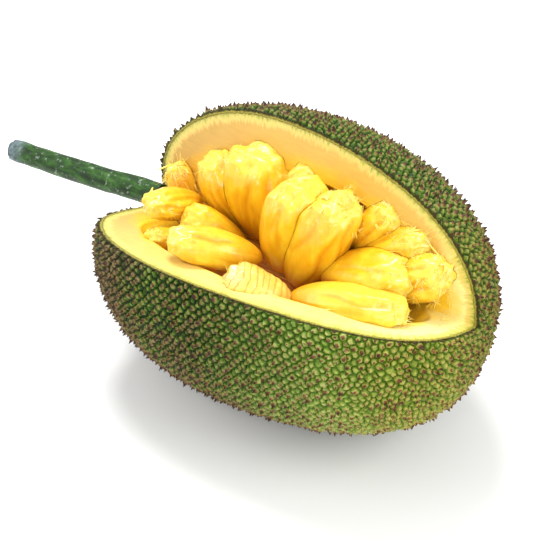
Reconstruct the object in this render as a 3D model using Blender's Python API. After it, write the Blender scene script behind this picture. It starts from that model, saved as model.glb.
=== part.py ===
"""A jackfruit lying on its side with a wedge cut out of it, which shows the yellow bulbs.

Metres, +Z up. The origin is the middle of the flat spot that the fruit rests on. +X runs along
the fruit from the stem to the blossom end, and the cut opens upwards and towards -Y.
"""

import math

import bmesh
import bpy
import numpy as np
from mathutils import Matrix, Vector

MM = 0.001

# The fruit's body, turned about its own long axis before it is bent
GIRTH_RADIUS = 0.125
STEM_REACH = 0.165
STEM_POWERS = (2.28, 1.87)
BLOSSOM_REACH = 0.187
BLOSSOM_POWERS = (1.88, 2.6)
HEIGHT_SHARE = 0.97
DIMPLE_DEPTH = 0.028
DIMPLE_RADIUS = 0.045
BEND_LENGTH = 0.18
BEND_SIDEWAYS = -0.020
BEND_UP = 0.004
BLOSSOM_LIFT = math.radians(3)
BODY_CENTRE = Vector((0.018, 0.0, 0.1186))

# The skin
TUBERCLES = 1300
TUBERCLE_HEIGHT = 0.0055
HEIGHT_RANGE = (0.8, 1.2)
LATITUDE_SPREAD = 0.64
ANGLE_SPREAD = 0.16
SKIN_THICKNESS = 0.0028
INNER_POINTS = 340
GAP = 0.00035

# The wedge: its two faces' outward normals and their distances from the body's centre
UPPER_NORMAL = Vector((-0.096, -0.982, 0.161)).normalized()
UPPER_DISTANCE = 0.0024
LOWER_NORMAL = Vector((-0.059, 0.262, 0.963)).normalized()
LOWER_DISTANCE = 0.0120

# The trough that the bulbs lie in
TROUGH_CENTRE = Vector((0.010, -0.029, 0.033))
TROUGH_HALF = Vector((0.155, 0.058, 0.066))
BLOSSOM_TUCK = 0.93
STEM_TUCK = 0.92
SHALLOW_FROM = 0.055
SHALLOW_LENGTH = 0.10
SHALLOW_SHARE = 0.55

# Tubes: points from the body's centre in millimetres, and a radius at each
CORE_PATH = (
    (-123, -6, 13, 10),
    (-100, -2, 7, 16),
    (-50, 0, -10, 19),
    (0, 0, -20, 19),
    (50, -2, -22, 18),
    (100, -6, -14, 13),
    (138, -10, -2, 8),
)
STEM_PATH = (
    (-128, -6, 17, 10.6),
    (-150, -6, 15, 10.9),
    (-185, -8, 12, 10.6),
    (-220, -9, 9, 10.3),
    (-250, -10, 7, 10.0),
    (-276, -11, 5.5, 9.8),
    (-292, -11, 4.5, 10.1),
    (-300, -11, 4, 9.4),
)
TUBE_SIDES = 12

# Bulbs: name, crown and root in millimetres from the body's centre, width, taper, folds, fold depth.
# Each one is dented by those above it in the list.
BULBS = (
    ("bulb_01", (68, -21, 98), (25, -23, 3), 53, 0.15, 3, 0.14),
    ("bulb_02", (32, -22, 97), (6, -12, 2), 58, 0.15, 3, 0.14),
    ("bulb_03", (-33, 6, 92), (-34, 12, 0), 60, 0.30, 6, 0.14),
    ("bulb_04", (-49, -90, 52), (4, -39, 27), 36, 0.15, 4, 0.12),
    ("bulb_05", (-74, -40, 40), (-28, -15, -1), 39, 0.15, 4, 0.12),
    ("bulb_06", (157, -18, 66), (109, -10, 32), 44, 0.10, 3, 0.12),
    ("bulb_07", (136, -31, 58), (50, -17, 20), 52, 0.05, 4, 0.12),
    ("bulb_08", (146, -54, 46), (49, -63, 24), 38, 0.10, 4, 0.12),
    ("bulb_09", (133, -2, 76), (74, 0, 38), 40, 0.10, 3, 0.12),
    ("bulb_10", (99, 4, 87), (60, 6, 34), 38, 0.20, 3, 0.12),
    ("bulb_11", (13, 12, 90), (-6, 20, 16), 37, 0.20, 3, 0.12),
    ("bulb_12", (-78, 1, 72), (-55, 18, -4), 45, 0.25, 4, 0.14),
    ("bulb_13", (-96, -60, 49), (-92, 2, 22), 32, 0.10, 4, 0.12),
    ("bulb_14", (-88, -72, 29), (-73, -34, 10), 22, 0.10, 3, 0.10),
    ("rag_01", (10, -93, 46), (54, -67, 20), 34, 0.10, 6, 0.20),
    ("rag_02", (-124, 9, 45), (-106, 4, 12), 26, 0.10, 6, 0.20),
)
BULB_SIDES = 18
BULB_RINGS = 9
BULB_DEPTH_SHARE = 0.86
BLUNTNESS = 0.24
LEAST_GIRTH = 0.05

SHARP_ANGLE = math.radians(40)
SEED = 7


# ---------------------------------------------------------------- small helpers


def clear_scene():
    for old in list(bpy.data.objects):
        bpy.data.objects.remove(old)


def material(name, colour, roughness):
    made = bpy.data.materials.new(name)
    made.use_nodes = True
    shader = made.node_tree.nodes["Principled BSDF"]
    shader.inputs["Base Color"].default_value = (*colour, 1)
    shader.inputs["Roughness"].default_value = roughness
    shader.inputs["Metallic"].default_value = 0.0
    return made


def object_from(bm, name, finish=None):
    """A new object at the body's centre that holds this bmesh."""
    mesh = bpy.data.meshes.new(name)
    bm.to_mesh(mesh)
    bm.free()
    made = bpy.data.objects.new(name, mesh)
    bpy.context.scene.collection.objects.link(made)
    if finish:
        mesh.materials.append(finish)
    return made


def mesh_of(obj):
    bm = bmesh.new()
    bm.from_mesh(obj.data)
    return bm


def grown(obj, distance):
    """A cutter: a copy of the object that is larger all round by this distance."""
    bm = mesh_of(obj)
    bm.normal_update()
    places = [vert.co + vert.normal * distance for vert in bm.verts]
    for vert, place in zip(bm.verts, places):
        vert.co = place
    cutter = object_from(bm, obj.name + "_grown")
    cutter.hide_render = True
    cutter.display_type = "WIRE"
    return cutter


def cut(obj, cutter):
    """Takes the cutter away from the object, for good."""
    step = obj.modifiers.new("cut", "BOOLEAN")
    step.operation = "DIFFERENCE"
    step.solver = "EXACT"
    step.object = cutter
    bpy.context.view_layer.update()
    graph = bpy.context.evaluated_depsgraph_get()
    result = bpy.data.meshes.new_from_object(obj.evaluated_get(graph))
    obj.modifiers.clear()
    obj.data = result


def islands(bm):
    """The faces of each separate body."""
    left = set(bm.faces)
    found = []
    while left:
        body = []
        frontier = [left.pop()]
        while frontier:
            face = frontier.pop()
            body.append(face)
            for edge in face.edges:
                for other in edge.link_faces:
                    if other in left:
                        left.remove(other)
                        frontier.append(other)
        found.append(body)
    return found


def keep_largest_body(obj):
    """Drops the scraps that a cut leaves loose."""
    bm = mesh_of(obj)
    bmesh.ops.triangulate(bm, faces=bm.faces)
    bodies = sorted(islands(bm), key=lambda body: sum(face.calc_area() for face in body))
    for scrap in bodies[:-1]:
        bmesh.ops.delete(bm, geom=scrap, context="FACES")
    bm.to_mesh(obj.data)
    bm.free()


def boxes_meet(one, other):
    """Whether the two objects' boxes overlap, so that a cut could do something."""
    for axis in range(3):
        ours = [vert.co[axis] for vert in one.data.vertices]
        theirs = [vert.co[axis] for vert in other.data.vertices]
        if max(ours) < min(theirs) or max(theirs) < min(ours):
            return False
    return True


# ---------------------------------------------------------------- the fruit's body


def meridian(steps=4000):
    """Stations from the stem end to the blossom end: place, radius, skin area so far, map latitude.

    The map latitude carries the body to a sphere without changing any angle, so that a pattern
    laid out there keeps even, round cells on the fruit.
    """
    turn = np.linspace(0, math.pi, steps)[1:-1]
    share = -np.cos(turn)
    stem_side = share < 0
    place = share * np.where(stem_side, STEM_REACH, BLOSSOM_REACH)
    power = np.where(stem_side, STEM_POWERS[0], BLOSSOM_POWERS[0])
    root = np.where(stem_side, STEM_POWERS[1], BLOSSOM_POWERS[1])
    radius = GIRTH_RADIUS * (1 - np.abs(share) ** power) ** (1 / root)
    step = np.hypot(np.diff(place), np.diff(radius))
    middle = (radius[1:] + radius[:-1]) / 2
    area = np.concatenate([[0], np.cumsum(middle * step)])
    latitude = np.concatenate([[0], np.cumsum(step / middle)])
    return place, radius, area, latitude - latitude[len(latitude) // 2]


PLACE, RADIUS, AREA, LATITUDE = meridian()
POLE = 0.999999


def sphere_points(count, wander, rng):
    """Points on the map sphere that share the fruit's skin equally, along a golden-angle spiral."""
    along = wander * rng.uniform(-LATITUDE_SPREAD, LATITUDE_SPREAD, count)
    area = (np.arange(count) + 0.5 + along) / count * AREA[-1]
    latitude = np.interp(area, AREA, LATITUDE)
    radius = np.interp(area, AREA, RADIUS)
    pitch = math.sqrt(2 * math.pi * AREA[-1] / count)
    angle = np.arange(count) * math.pi * (3 - math.sqrt(5))
    angle = angle + wander * rng.uniform(-ANGLE_SPREAD, ANGLE_SPREAD, count) * pitch / radius
    across = 1 / np.cosh(latitude)
    return np.column_stack([np.tanh(latitude), across * np.cos(angle), across * np.sin(angle)])


def on_body(direction):
    """The place on the fruit's smooth skin of a direction on the map sphere."""
    latitude = math.atanh(max(-POLE, min(POLE, direction.x)))
    x = float(np.interp(latitude, LATITUDE, PLACE))
    radius = float(np.interp(latitude, LATITUDE, RADIUS))
    angle = math.atan2(direction.z, direction.y)
    if x < 0:
        x += DIMPLE_DEPTH * math.exp(-((radius / DIMPLE_RADIUS) ** 2))
    bend = (x / BEND_LENGTH) ** 2
    y = radius * math.cos(angle) + BEND_SIDEWAYS * bend
    z = radius * math.sin(angle) * HEIGHT_SHARE + BEND_UP * bend
    return Matrix.Rotation(-BLOSSOM_LIFT, 3, "Y") @ Vector((x, y, z))


def hull_bmesh(count, wander, rng):
    """A closed net of triangles over the map sphere; wander 1 scatters its points and 0 leaves them even."""
    bm = bmesh.new()
    for point in sphere_points(count, wander, rng):
        bm.verts.new(point)
    bmesh.ops.convex_hull(bm, input=bm.verts)
    return bm


def lay_on_body(bm):
    """Carries a net from the map sphere to the fruit's smooth skin."""
    for vert in bm.verts:
        vert.co = on_body(vert.co.normalized())
    bmesh.ops.recalc_face_normals(bm, faces=bm.faces)
    bm.normal_update()


def flatten_underneath(bm, height):
    """Pushes what is lower than this height above the ground up to it, as the flat resting spot."""
    for vert in bm.verts:
        vert.co.z = max(vert.co.z, height - BODY_CENTRE.z)


def smooth_body(name, inset):
    """The fruit's body without its tubercles, smaller all round by the inset."""
    bm = hull_bmesh(INNER_POINTS, 0, np.random.default_rng(SEED))
    lay_on_body(bm)
    places = [vert.co - vert.normal * inset for vert in bm.verts]
    for vert, place in zip(bm.verts, places):
        vert.co = place
    flatten_underneath(bm, inset)
    return object_from(bm, name)


def spiny_body(name, finish):
    """The fruit's skin as six-sided tubercles that meet in valleys, flat where it rests."""
    rng = np.random.default_rng(SEED)
    bm = hull_bmesh(TUBERCLES, 1, rng)
    tips = list(bm.verts)
    ridges = list(bm.edges)
    corners = bmesh.ops.poke(bm, faces=bm.faces)["verts"]
    bmesh.ops.dissolve_edges(bm, edges=ridges, use_verts=False)
    bmesh.ops.connect_verts(bm, verts=corners)
    lay_on_body(bm)
    heights = TUBERCLE_HEIGHT * rng.uniform(*HEIGHT_RANGE, len(tips))
    places = [tip.co + tip.normal * height for tip, height in zip(tips, heights)]
    for tip, place in zip(tips, places):
        tip.co = place
    flatten_underneath(bm, 0)
    return object_from(bm, name, finish)


def wedge_cutter():
    """All that lies beyond both faces of the cut."""
    bm = bmesh.new()
    bmesh.ops.create_cube(bm, size=1.0)
    for normal, distance in ((UPPER_NORMAL, UPPER_DISTANCE), (LOWER_NORMAL, LOWER_DISTANCE)):
        bmesh.ops.bisect_plane(
            bm,
            geom=bm.verts[:] + bm.edges[:] + bm.faces[:],
            plane_co=normal * distance,
            plane_no=normal,
            clear_inner=True,
        )
        bmesh.ops.holes_fill(bm, edges=bm.edges)
    bmesh.ops.recalc_face_normals(bm, faces=bm.faces)
    cutter = object_from(bm, "wedge")
    cutter.hide_render = True
    cutter.display_type = "WIRE"
    return cutter


def trough_cutter():
    """An ellipsoid, drawn in a little at both ends and shallower there."""
    bm = bmesh.new()
    bmesh.ops.create_icosphere(bm, subdivisions=4, radius=1.0)
    bmesh.ops.scale(bm, vec=TROUGH_HALF, verts=bm.verts)
    for vert in bm.verts:
        vert.co.x *= BLOSSOM_TUCK if vert.co.x > 0 else STEM_TUCK
    bmesh.ops.translate(bm, vec=TROUGH_CENTRE, verts=bm.verts)
    for vert in bm.verts:
        endward = min(1, max(0, (abs(vert.co.x) - SHALLOW_FROM) / SHALLOW_LENGTH))
        below = min(0, vert.co.z - TROUGH_CENTRE.z)
        vert.co.z -= below * SHALLOW_SHARE * endward
    cutter = object_from(bm, "trough")
    cutter.hide_render = True
    cutter.display_type = "WIRE"
    return cutter


# ---------------------------------------------------------------- stem, core and bulbs


def tube(name, path, finish):
    """A closed tube of round rings along a path of (x, y, z, radius) in millimetres."""
    points = [Vector(step[:3]) * MM for step in path]
    bm = bmesh.new()
    rims = []
    for index, point in enumerate(points):
        ahead = points[min(index + 1, len(points) - 1)]
        behind = points[max(index - 1, 0)]
        turn = (ahead - behind).to_track_quat("Z", "Y").to_matrix().to_4x4()
        ring = bmesh.ops.create_circle(
            bm,
            radius=path[index][3] * MM,
            segments=TUBE_SIDES,
            matrix=Matrix.Translation(point) @ turn,
        )["verts"]
        rims.append({edge for vert in ring for edge in vert.link_edges})
    for near, far in zip(rims, rims[1:]):
        bmesh.ops.bridge_loops(bm, edges=list(near | far))
    bmesh.ops.holes_fill(bm, edges=bm.edges)
    bmesh.ops.recalc_face_normals(bm, faces=bm.faces)
    return object_from(bm, name, finish)


def bulb(name, crown, root, width, taper, folds, fold_depth, finish):
    """One fleshy bulb: plump and blunt at its crown, tapered to its root, with folds along it."""
    crown = Vector(crown) * MM
    root = Vector(root) * MM
    half = (crown - root).length / 2
    turn = (crown - root).to_track_quat("Z", "Y").to_matrix()
    bm = bmesh.new()
    bmesh.ops.create_uvsphere(bm, u_segments=BULB_SIDES, v_segments=BULB_RINGS, radius=1.0)
    for vert in bm.verts:
        angle = math.atan2(vert.co.y, vert.co.x)
        fold = 1 - fold_depth * (1 - abs(math.cos(angle * folds / 2)))
        girth = max(LEAST_GIRTH, math.hypot(vert.co.x, vert.co.y))
        blunt = girth**-BLUNTNESS if vert.co.z > 0 else 1
        plump = (1 + taper * vert.co.z) * fold * blunt * width * MM / 2
        local = Vector((vert.co.x * plump, vert.co.y * plump * BULB_DEPTH_SHARE, vert.co.z * half))
        vert.co = (crown + root) / 2 + turn @ local
    bmesh.ops.recalc_face_normals(bm, faces=bm.faces)
    return object_from(bm, name, finish)


# ---------------------------------------------------------------- the assembly


def main():
    clear_scene()
    skin_finish = material("skin", (0.16, 0.26, 0.05), 0.55)
    flesh_finish = material("flesh", (0.93, 0.62, 0.20), 0.55)
    core_finish = material("core", (0.75, 0.38, 0.08), 0.60)
    bulb_finish = material("bulb", (0.97, 0.55, 0.05), 0.35)
    rag_finish = material("rag", (0.95, 0.72, 0.28), 0.55)
    stem_finish = material("stem", (0.05, 0.11, 0.03), 0.45)

    wedge = wedge_cutter()
    trough = trough_cutter()
    stem = tube("stem", STEM_PATH, stem_finish)
    stem_room = grown(stem, GAP)
    core = tube("core", CORE_PATH, core_finish)
    core_room = grown(core, GAP)
    cut(core, stem_room)

    rind = spiny_body("rind", skin_finish)
    inside = smooth_body("inside", SKIN_THICKNESS)
    for cutter in (inside, wedge, stem_room):
        cut(rind, cutter)
    bpy.data.objects.remove(inside)

    flesh = smooth_body("flesh", SKIN_THICKNESS + GAP)
    flesh.data.materials.append(flesh_finish)
    for cutter in (wedge, trough, stem_room, core_room):
        cut(flesh, cutter)

    bulbs = []
    rooms = []
    for name, crown, root, width, taper, folds, fold_depth in BULBS:
        finish = rag_finish if name.startswith("rag") else bulb_finish
        made = bulb(name, crown, root, width, taper, folds, fold_depth, finish)
        room = grown(made, GAP)
        for cutter in [stem_room, core_room] + rooms:
            if boxes_meet(made, cutter):
                cut(made, cutter)
        cut(flesh, room)
        bulbs.append(made)
        rooms.append(room)

    for cutter in [wedge, trough, stem_room, core_room] + rooms:
        bpy.data.objects.remove(cutter)
    for piece in [rind, flesh, core, stem] + bulbs:
        keep_largest_body(piece)
        piece.location = BODY_CENTRE
    for piece in [flesh, core, stem] + bulbs:
        piece.data.shade_smooth()
        piece.data.set_sharp_from_angle(angle=SHARP_ANGLE)


main()
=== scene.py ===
# %% [markdown]
# # A cut jackfruit, dressed for its portrait
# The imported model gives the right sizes, and it is plain: big spikes, smooth bulbs, one colour
# each. This lesson makes a finer piece for each plain one, in the same place and of the same
# form, and then gives every piece a finish of its own. All lengths are in metres.

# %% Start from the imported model
import math

import bmesh
import bpy
import numpy as np
from mathutils import Matrix, Vector, noise
from mathutils.bvhtree import BVHTree
from mathutils.kdtree import KDTree


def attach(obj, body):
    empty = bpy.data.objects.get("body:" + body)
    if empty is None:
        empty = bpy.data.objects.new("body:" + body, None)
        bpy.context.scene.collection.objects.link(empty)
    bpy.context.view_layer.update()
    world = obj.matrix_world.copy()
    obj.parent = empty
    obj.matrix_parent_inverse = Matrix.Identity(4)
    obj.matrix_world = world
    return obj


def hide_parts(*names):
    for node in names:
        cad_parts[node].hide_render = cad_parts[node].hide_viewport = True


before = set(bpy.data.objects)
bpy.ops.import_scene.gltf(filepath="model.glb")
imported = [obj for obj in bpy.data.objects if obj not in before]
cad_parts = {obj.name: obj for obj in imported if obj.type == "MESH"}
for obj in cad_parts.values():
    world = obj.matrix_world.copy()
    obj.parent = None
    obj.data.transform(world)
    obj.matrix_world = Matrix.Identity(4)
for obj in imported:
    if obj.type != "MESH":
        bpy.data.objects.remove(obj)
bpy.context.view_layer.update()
MM = 0.001
print("nodes:", ", ".join(sorted(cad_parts)))

# %% [markdown]
# ## The shape of the fruit
# A jackfruit is a bent, blunt barrel with a dimple at its stem. Its outline could be drawn as a
# curve and spun. A formula is used instead, because the same formula then lays out the spikes
# without stretching them, and tells how deep under the skin any point of the flesh is.

# %% The body's measures
GIRTH_RADIUS = 0.125
STEM_REACH = 0.165
# How blunt an end is: (2, 2) would be half an ellipse
STEM_POWERS = (2.28, 1.87)
BLOSSOM_REACH = 0.187
BLOSSOM_POWERS = (1.88, 2.6)
HEIGHT_SHARE = 0.97
DIMPLE_DEPTH = 0.028
DIMPLE_RADIUS = 0.045
BEND_LENGTH = 0.18
BEND_SIDEWAYS = -0.020
BEND_UP = 0.004
BLOSSOM_LIFT = math.radians(3)
BODY_CENTRE = Vector((0.018, 0.0, 0.1186))
print(f"length without the stem: {(STEM_REACH + BLOSSOM_REACH) / MM:.0f} mm")


# %% The outline as a table of stations
def meridian(steps=4000):
    """Stations from the stem end to the blossom end: place, radius, skin area so far, map latitude."""
    turn = np.linspace(0, math.pi, steps)[1:-1]
    share = -np.cos(turn)
    stem_side = share < 0
    place = share * np.where(stem_side, STEM_REACH, BLOSSOM_REACH)
    power = np.where(stem_side, STEM_POWERS[0], BLOSSOM_POWERS[0])
    root = np.where(stem_side, STEM_POWERS[1], BLOSSOM_POWERS[1])
    radius = GIRTH_RADIUS * (1 - np.abs(share) ** power) ** (1 / root)
    step = np.hypot(np.diff(place), np.diff(radius))
    middle = (radius[1:] + radius[:-1]) / 2
    area = np.concatenate([[0], np.cumsum(middle * step)])
    latitude = np.concatenate([[0], np.cumsum(step / middle)])
    return place, radius, area, latitude - latitude[len(latitude) // 2]


PLACE, RADIUS, AREA, LATITUDE = meridian()
POLE = 0.999999
print(f"skin: {2 * math.pi * AREA[-1] * 1e4:.0f} square centimetres")

# %% [markdown]
# Points spread along a golden-angle spiral never line up in rows, as the spikes on a real fruit
# don't. They are laid on a sphere first, because a convex hull joins the points of a sphere
# into neat triangles in one step, and then carried to the fruit without changing any angle.

# %% Even points, and their way to the fruit's skin
def sphere_points(count, wander, rng):
    """Points on the map sphere that share the skin equally, moved by up to this many pitches."""
    area = (np.arange(count) + 0.5) / count * AREA[-1]
    radius = np.interp(area, AREA, RADIUS)
    pitch = math.sqrt(2 * math.pi * AREA[-1] / count)
    latitude = np.interp(area, AREA, LATITUDE)
    latitude = latitude + rng.uniform(-wander, wander, count) * pitch / radius
    angle = np.arange(count) * math.pi * (3 - math.sqrt(5))
    angle = angle + rng.uniform(-wander, wander, count) * pitch / radius
    across = 1 / np.cosh(latitude)
    return np.column_stack([np.tanh(latitude), across * np.cos(angle), across * np.sin(angle)])


def on_body(directions):
    """The places on the smooth skin of these directions on the map sphere."""
    latitude = np.arctanh(np.clip(directions[:, 0], -POLE, POLE))
    x = np.interp(latitude, LATITUDE, PLACE)
    radius = np.interp(latitude, LATITUDE, RADIUS)
    angle = np.arctan2(directions[:, 2], directions[:, 1])
    x = x + np.where(x < 0, DIMPLE_DEPTH * np.exp(-((radius / DIMPLE_RADIUS) ** 2)), 0)
    bend = (x / BEND_LENGTH) ** 2
    y = radius * np.cos(angle) + BEND_SIDEWAYS * bend
    z = radius * np.sin(angle) * HEIGHT_SHARE + BEND_UP * bend
    lift = np.array(Matrix.Rotation(-BLOSSOM_LIFT, 3, "Y"))
    return np.column_stack([x, y, z]) @ lift.T


# %% Nets of triangles over the fruit
def hull_net(count, wander, rng):
    bm = bmesh.new()
    for point in sphere_points(count, wander, rng):
        bm.verts.new(point)
    bmesh.ops.convex_hull(bm, input=bm.verts)
    return bm


def lay_on_body(bm):
    """Carries a net from the map sphere to the smooth skin."""
    directions = np.array([vert.co.normalized() for vert in bm.verts])
    for vert, place in zip(bm.verts, on_body(directions)):
        vert.co = place
    bmesh.ops.recalc_face_normals(bm, faces=bm.faces)
    bm.normal_update()


def reshape(bm, new_place):
    """Moves every vertex, but only once all the new places are known."""
    bm.normal_update()
    places = [new_place(vert) for vert in bm.verts]
    for vert, place in zip(bm.verts, places):
        vert.co = place


def move_along_normals(bm, distance):
    reshape(bm, lambda vert: vert.co + vert.normal * distance)


def flatten_underneath(bm, height):
    """Pushes what is lower than this height above the ground up to it."""
    for vert in bm.verts:
        vert.co.z = max(vert.co.z, height - BODY_CENTRE.z)


def share_of(value, start, length):
    """0 up to the start, 1 from one length beyond it. A negative length counts downwards."""
    return min(1, max(0, (value - start) / length))


def grain(place, along, across):
    """Noise that is finer across the fruit than along it, or coarser."""
    return noise.noise(Vector((place.x * along, place.y * across, place.z * across)))


# %% Objects, cutters and cuts
def object_from(bm, name):
    """A new object that holds this bmesh, which is still measured from the body's centre."""
    mesh = bpy.data.meshes.new(name)
    bm.to_mesh(mesh)
    bm.free()
    made = bpy.data.objects.new(name, mesh)
    bpy.context.scene.collection.objects.link(made)
    return made


def mesh_of(obj):
    bm = bmesh.new()
    bm.from_mesh(obj.data)
    return bm


def join(whole, part):
    """Adds one bmesh to another, and frees it."""
    loose = bpy.data.meshes.new("loose")
    part.to_mesh(loose)
    part.free()
    whole.from_mesh(loose)
    bpy.data.meshes.remove(loose)


def grown(obj, distance):
    """A copy of the object that is larger all round, to cut room for it."""
    bm = mesh_of(obj)
    move_along_normals(bm, distance)
    return object_from(bm, obj.name + "_room")


def cut(obj, cutter):
    """Takes the cutter away from the object, for good."""
    before = len(obj.data.polygons)
    step = obj.modifiers.new("cut", "BOOLEAN")
    step.operation = "DIFFERENCE"
    step.solver = "MANIFOLD"
    step.object = cutter
    bpy.context.view_layer.update()
    graph = bpy.context.evaluated_depsgraph_get()
    result = bpy.data.meshes.new_from_object(obj.evaluated_get(graph))
    obj.modifiers.clear()
    obj.data = result
    return before != len(result.polygons)


def places_of(obj):
    return np.array([vert.co for vert in obj.data.vertices])


def boxes_meet(one, other):
    ours, theirs = places_of(one), places_of(other)
    return bool((ours.max(0) >= theirs.min(0)).all() and (theirs.max(0) >= ours.min(0)).all())


# %% Loose scraps
def bodies_of(bm):
    """The faces of each separate body, the smallest body first."""
    left = set(bm.faces)
    found = []
    while left:
        body = []
        frontier = [left.pop()]
        while frontier:
            face = frontier.pop()
            body.append(face)
            for edge in face.edges:
                for other in edge.link_faces:
                    if other in left:
                        left.remove(other)
                        frontier.append(other)
        found.append(body)
    return sorted(found, key=lambda body: sum(face.calc_area() for face in body))


def doubled_faces(bm):
    """The faces that lie on the very corners of another face, as flaps of no thickness."""
    by_corners = {}
    for face in bm.faces:
        by_corners.setdefault(frozenset(vert.index for vert in face.verts), []).append(face)
    return [face for faces in by_corners.values() if len(faces) > 1 for face in faces]


def keep_largest_body(obj):
    bm = mesh_of(obj)
    bmesh.ops.triangulate(bm, faces=bm.faces)
    bmesh.ops.delete(bm, geom=doubled_faces(bm), context="FACES")
    for scrap in bodies_of(bm)[:-1]:
        bmesh.ops.delete(bm, geom=scrap, context="FACES")
    bm.to_mesh(obj.data)
    bm.free()


# %% [markdown]
# ## The knife's wedge
# The wedge was cut out with two strokes of a big knife, so its walls are flat but not perfectly
# so. A box cutter would leave them like glass. Here a fine grid is folded along the line where
# the strokes meet, waved by a fraction of a millimetre, and thickened into a closed cutter.

# %% The wedge cutter
UPPER_NORMAL = Vector((-0.096, -0.982, 0.161)).normalized()
UPPER_DISTANCE = 0.0024
LOWER_NORMAL = Vector((-0.059, 0.262, 0.963)).normalized()
LOWER_DISTANCE = 0.0120
WEDGE_REACH = 0.30
WEDGE_GRID = 0.0025
KNIFE_WAVE = 0.0005
CALM_CORNER = 0.01


def meeting_line():
    """A point on the line where the two strokes meet, and the line's direction."""
    along = UPPER_NORMAL.cross(LOWER_NORMAL).normalized()
    planes = Matrix((UPPER_NORMAL, LOWER_NORMAL, along))
    return planes.inverted() @ Vector((UPPER_DISTANCE, LOWER_DISTANCE, 0)), along


def knife_wave(place):
    """How far the knife strayed here: slow waves, and fine chatter across the stroke."""
    return (noise.noise(place * 22) + 0.35 * grain(place, 60, 260)) * KNIFE_WAVE


def facing(direction, towards):
    """The direction or its opposite, whichever points this way."""
    return direction if direction.dot(towards) > 0 else -direction


def wedge_cutter():
    """All that lies beyond both strokes of the knife."""
    corner, along = meeting_line()
    up = facing(along.cross(UPPER_NORMAL), LOWER_NORMAL)
    out = facing(along.cross(LOWER_NORMAL), UPPER_NORMAL)
    cells = int(WEDGE_REACH / WEDGE_GRID)
    bm = bmesh.new()
    bmesh.ops.create_grid(bm, x_segments=2 * cells, y_segments=2 * cells, size=WEDGE_REACH)
    for vert in bm.verts:
        across, lengthways = vert.co.x, vert.co.y
        wall = up * across if across > 0 else out * -across
        normal = UPPER_NORMAL if across > 0 else LOWER_NORMAL
        place = corner + wall + along * lengthways
        vert.co = place + normal * knife_wave(place) * share_of(abs(across), 0, CALM_CORNER)
    moved = bmesh.ops.extrude_face_region(bm, geom=bm.faces[:], use_keep_orig=True)["geom"]
    roof = [part for part in moved if isinstance(part, bmesh.types.BMVert)]
    bmesh.ops.translate(bm, vec=(up + out) * WEDGE_REACH, verts=roof)
    bmesh.ops.recalc_face_normals(bm, faces=bm.faces)
    return object_from(bm, "wedge")


wedge = wedge_cutter()
print("the wedge's walls hold", len(wedge.data.polygons), "faces")

# %% [markdown]
# ## Stem and core
# The stem is a woody rod about 20 mm thick, knobbly under its bark, a little wider just before
# its cut end. The core carries it on inside the fruit, a fibrous ridge. Both are rings bridged
# into a tube, because rings let the thickness change along the way, and then bumped by noise.

# %% Tubes along a path
# Each step: x, y, z and radius, in millimetres from the body's centre
STEM_PATH = (
    (-128, -6, 17, 10.6),
    (-150, -6, 15, 10.9),
    (-185, -8, 12, 10.6),
    (-220, -9, 9, 10.3),
    (-250, -10, 7, 10.0),
    (-276, -11, 5.5, 9.8),
    (-292, -11, 4.5, 10.1),
    (-300, -11, 4, 9.4),
)
CORE_PATH = (
    (-123, -6, 13, 10),
    (-100, -2, 7, 16),
    (-50, 0, -10, 19),
    (0, 0, -20, 19),
    (50, -2, -22, 18),
    (100, -6, -14, 13),
    (138, -10, -2, 8),
)
GAP = 0.00035


def closer_steps(path, spacing):
    """The same path, in metres, with steps no longer than the spacing in millimetres."""
    path = np.array(path, dtype=float)
    lengths = np.linalg.norm(np.diff(path[:, :3], axis=0), axis=1)
    travelled = np.concatenate([[0], np.cumsum(lengths)])
    wanted = np.linspace(0, travelled[-1], int(travelled[-1] / spacing) + 1)
    return np.column_stack([np.interp(wanted, travelled, column) for column in path.T]) * MM


def add_tube(bm, path, sides):
    """A closed tube of round rings along rows of x, y, z and radius, added to the bmesh."""
    points = [Vector(step[:3]) for step in path]
    rims = []
    for index, point in enumerate(points):
        ahead = points[min(index + 1, len(points) - 1)]
        behind = points[max(index - 1, 0)]
        turn = (ahead - behind).to_track_quat("Z", "Y").to_matrix().to_4x4()
        at = Matrix.Translation(point) @ turn
        ring = bmesh.ops.create_circle(bm, radius=path[index][3], segments=sides, matrix=at)
        rims.append(ring["verts"])
    loops = [{edge for vert in ring for edge in vert.link_edges} for ring in rims]
    made = []
    for near, far in zip(loops, loops[1:]):
        made += bmesh.ops.bridge_loops(bm, edges=list(near | far))["faces"]
    for loop in (loops[0], loops[-1]):
        made += bmesh.ops.contextual_create(bm, geom=list(loop))["faces"]
    bmesh.ops.recalc_face_normals(bm, faces=made)


# %% The stem
STEM_SIDES = 40
STEM_STEP_MM = 2.5
ROUGH_END = 0.012


def make_stem():
    """A knobbly rod in furrowed bark, rougher at its cut end."""
    bm = bmesh.new()
    add_tube(bm, closer_steps(STEM_PATH, STEM_STEP_MM), STEM_SIDES)
    end = max(abs(vert.co.x) for vert in bm.verts)

    def with_bark(vert):
        bark = grain(vert.co, 60, 110)
        furrow = grain(vert.co, 90, 420)
        knob = noise.noise(vert.co * 38)
        rough = max(0, 1 - (end - abs(vert.co.x)) / ROUGH_END)
        torn = noise.noise(vert.co * 300) * rough
        swell = 0.00055 * bark + 0.00025 * furrow + 0.0005 * knob + 0.0007 * torn
        return vert.co + vert.normal * swell

    reshape(bm, with_bark)
    return object_from(bm, "stem_bark")


stem = make_stem()
stem_room = grown(stem, GAP)
print("stem:", len(stem.data.polygons), "faces")

# %% The core
CORE_SIDES = 60
CORE_STEP_MM = 3


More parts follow.
